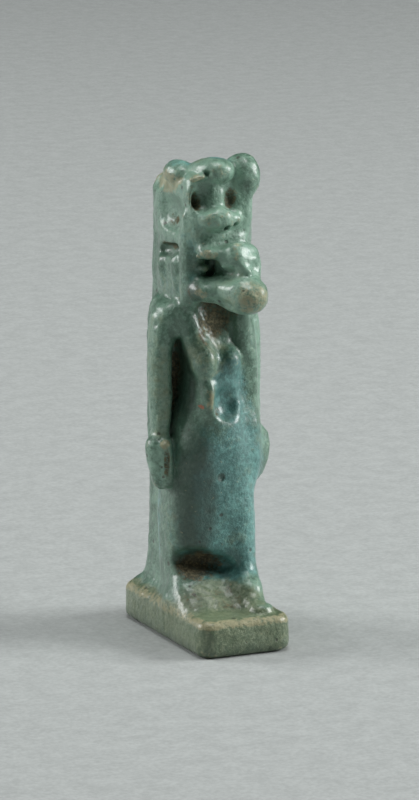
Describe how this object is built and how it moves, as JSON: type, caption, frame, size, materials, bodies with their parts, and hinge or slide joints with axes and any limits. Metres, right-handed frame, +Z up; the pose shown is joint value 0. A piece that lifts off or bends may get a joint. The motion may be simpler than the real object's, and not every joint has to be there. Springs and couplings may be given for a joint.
{
  "type": "standing animal-headed deity amulet",
  "caption": "Moulded glazed-ceramic amulet of a slim standing figure with a horned animal head and tall crown, against a back pillar on a deep rectangular plinth.",
  "frame": {"origin": "middle of the plinth's flat underside", "axes": "+Z up, the figure faces -Y, its own right side at -X"},
  "size_m": [0.0096, 0.0146, 0.0351],
  "materials": {
    "faience": "worn blue-green glaze, soft gloss, brown soil in the hollows"
  },
  "bodies": {
    "root": {"hathor_amulet": "faience"}
  },
  "joints": []
}
